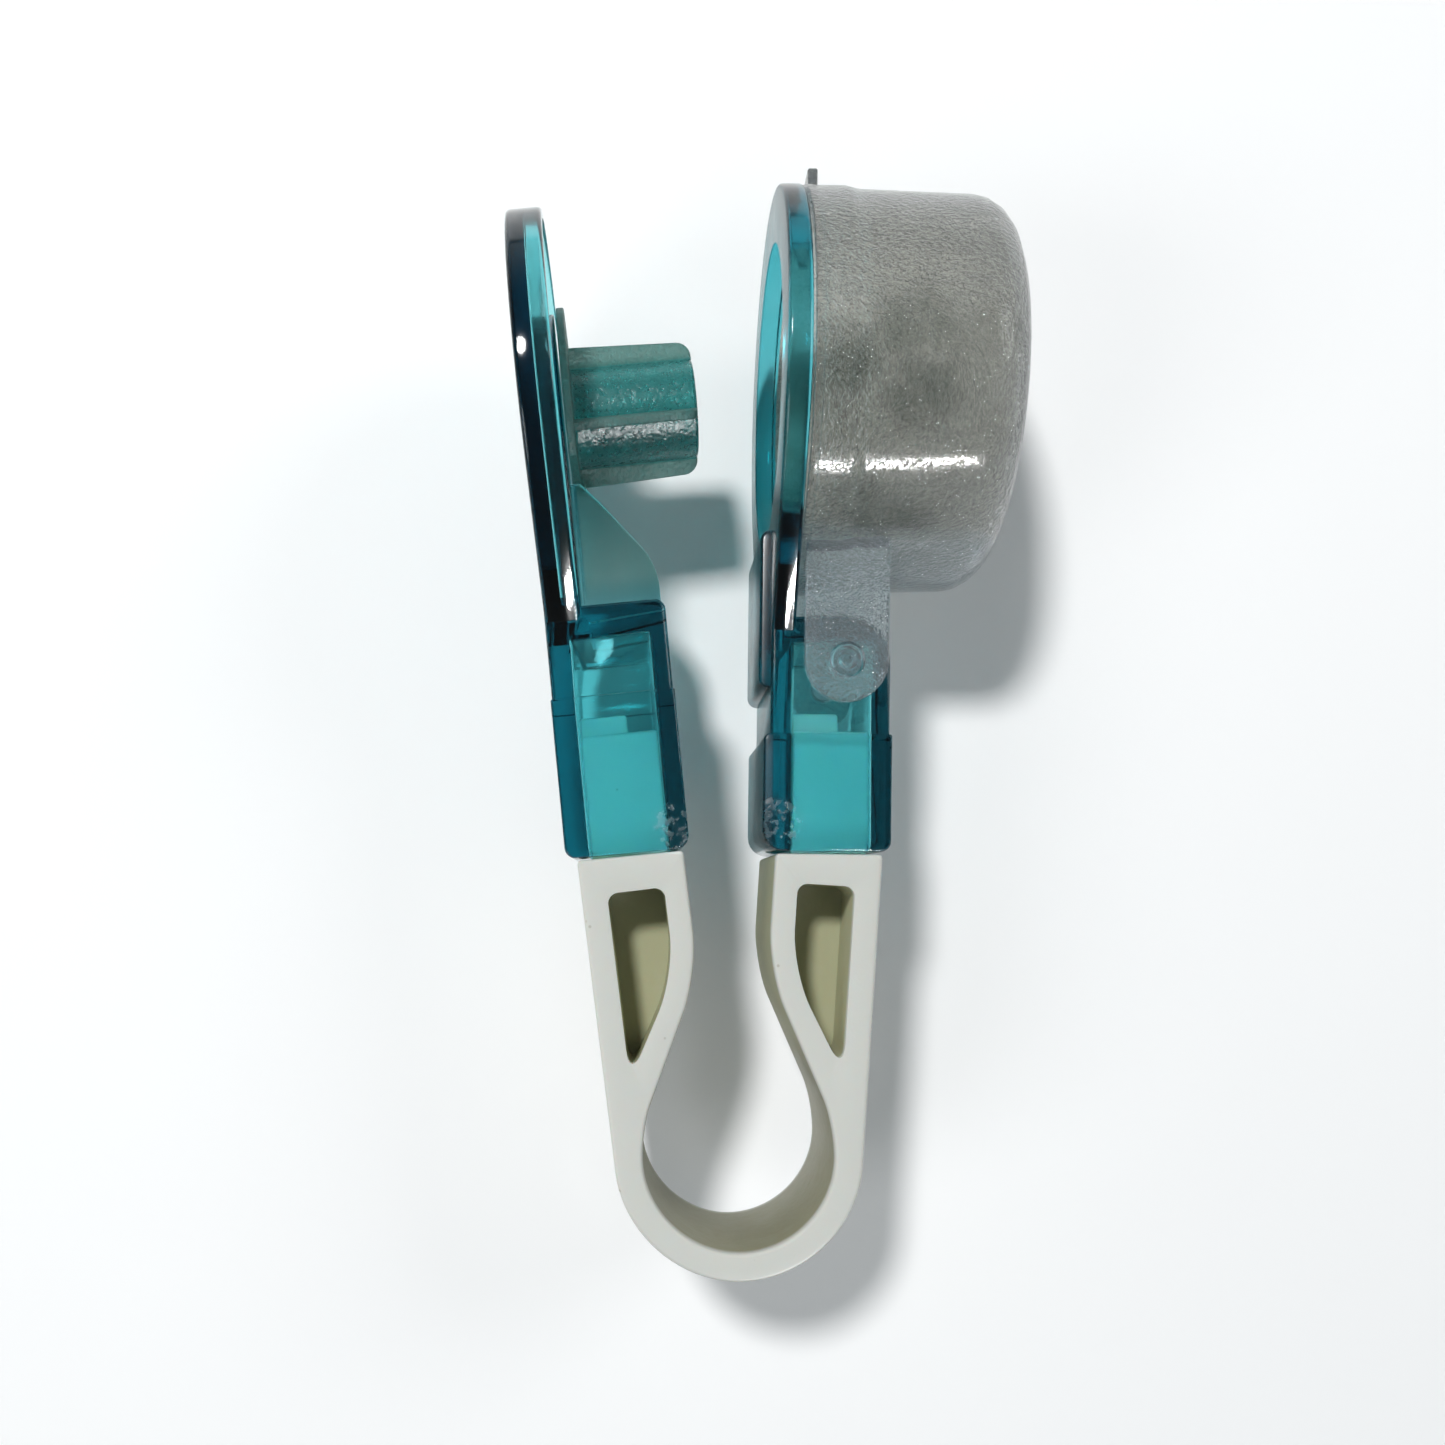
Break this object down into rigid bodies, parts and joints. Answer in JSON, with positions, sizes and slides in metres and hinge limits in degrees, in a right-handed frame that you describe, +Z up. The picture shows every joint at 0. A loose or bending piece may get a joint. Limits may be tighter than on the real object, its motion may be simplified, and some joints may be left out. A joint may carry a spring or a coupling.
{
  "type": "blister pack pill popper",
  "caption": "Hand squeeze tool: a U spring with two arms, one with a finned plunger, the other with a ring plate and a hinged clear catch cup.",
  "frame": {"origin": "middle of the box round the object, on the surface that it lies on", "axes": "+Y along the tool from the spring's bow to the cup's thumb tab, +X from the plunger arm to the catch cup, +Z up, along the hinge pins"},
  "size_m": [0.0572, 0.1276, 0.046],
  "materials": {
    "white_nylon": "satin white moulded plastic",
    "teal_clear": "clear teal moulded plastic, glossy",
    "teal_frosted": "frosted teal moulded plastic",
    "clear": "clear moulded plastic, faintly frosted inside",
    "pin_clear": "clear moulded plastic, glossy"
  },
  "bodies": {
    "ring_side": {"spring_right": "white_nylon", "ring_arm": "teal_clear"},
    "plunger_side": {"spring_left": "white_nylon", "plunger_arm": "teal_clear", "plunger": "teal_frosted"},
    "cup": {"catch_cup": "clear", "hinge_pin_upper": "pin_clear", "hinge_pin_lower": "pin_clear"}
  },
  "joints": [
    {"name": "squeeze", "type": "hinge", "parent": "ring_side", "child": "plunger_side", "pos_m": [-0.0022, -0.06218, 0.023], "axis": [0, 0, -1], "range_deg": [0, 7.2], "stiffness_Nm_per_rad": 3},
    {"name": "cup_open", "type": "hinge", "parent": "ring_side", "child": "cup", "pos_m": [0.00984, 0.00602, 0.023], "axis": [0, 0, -1], "range_deg": [0, 100]}
  ]
}
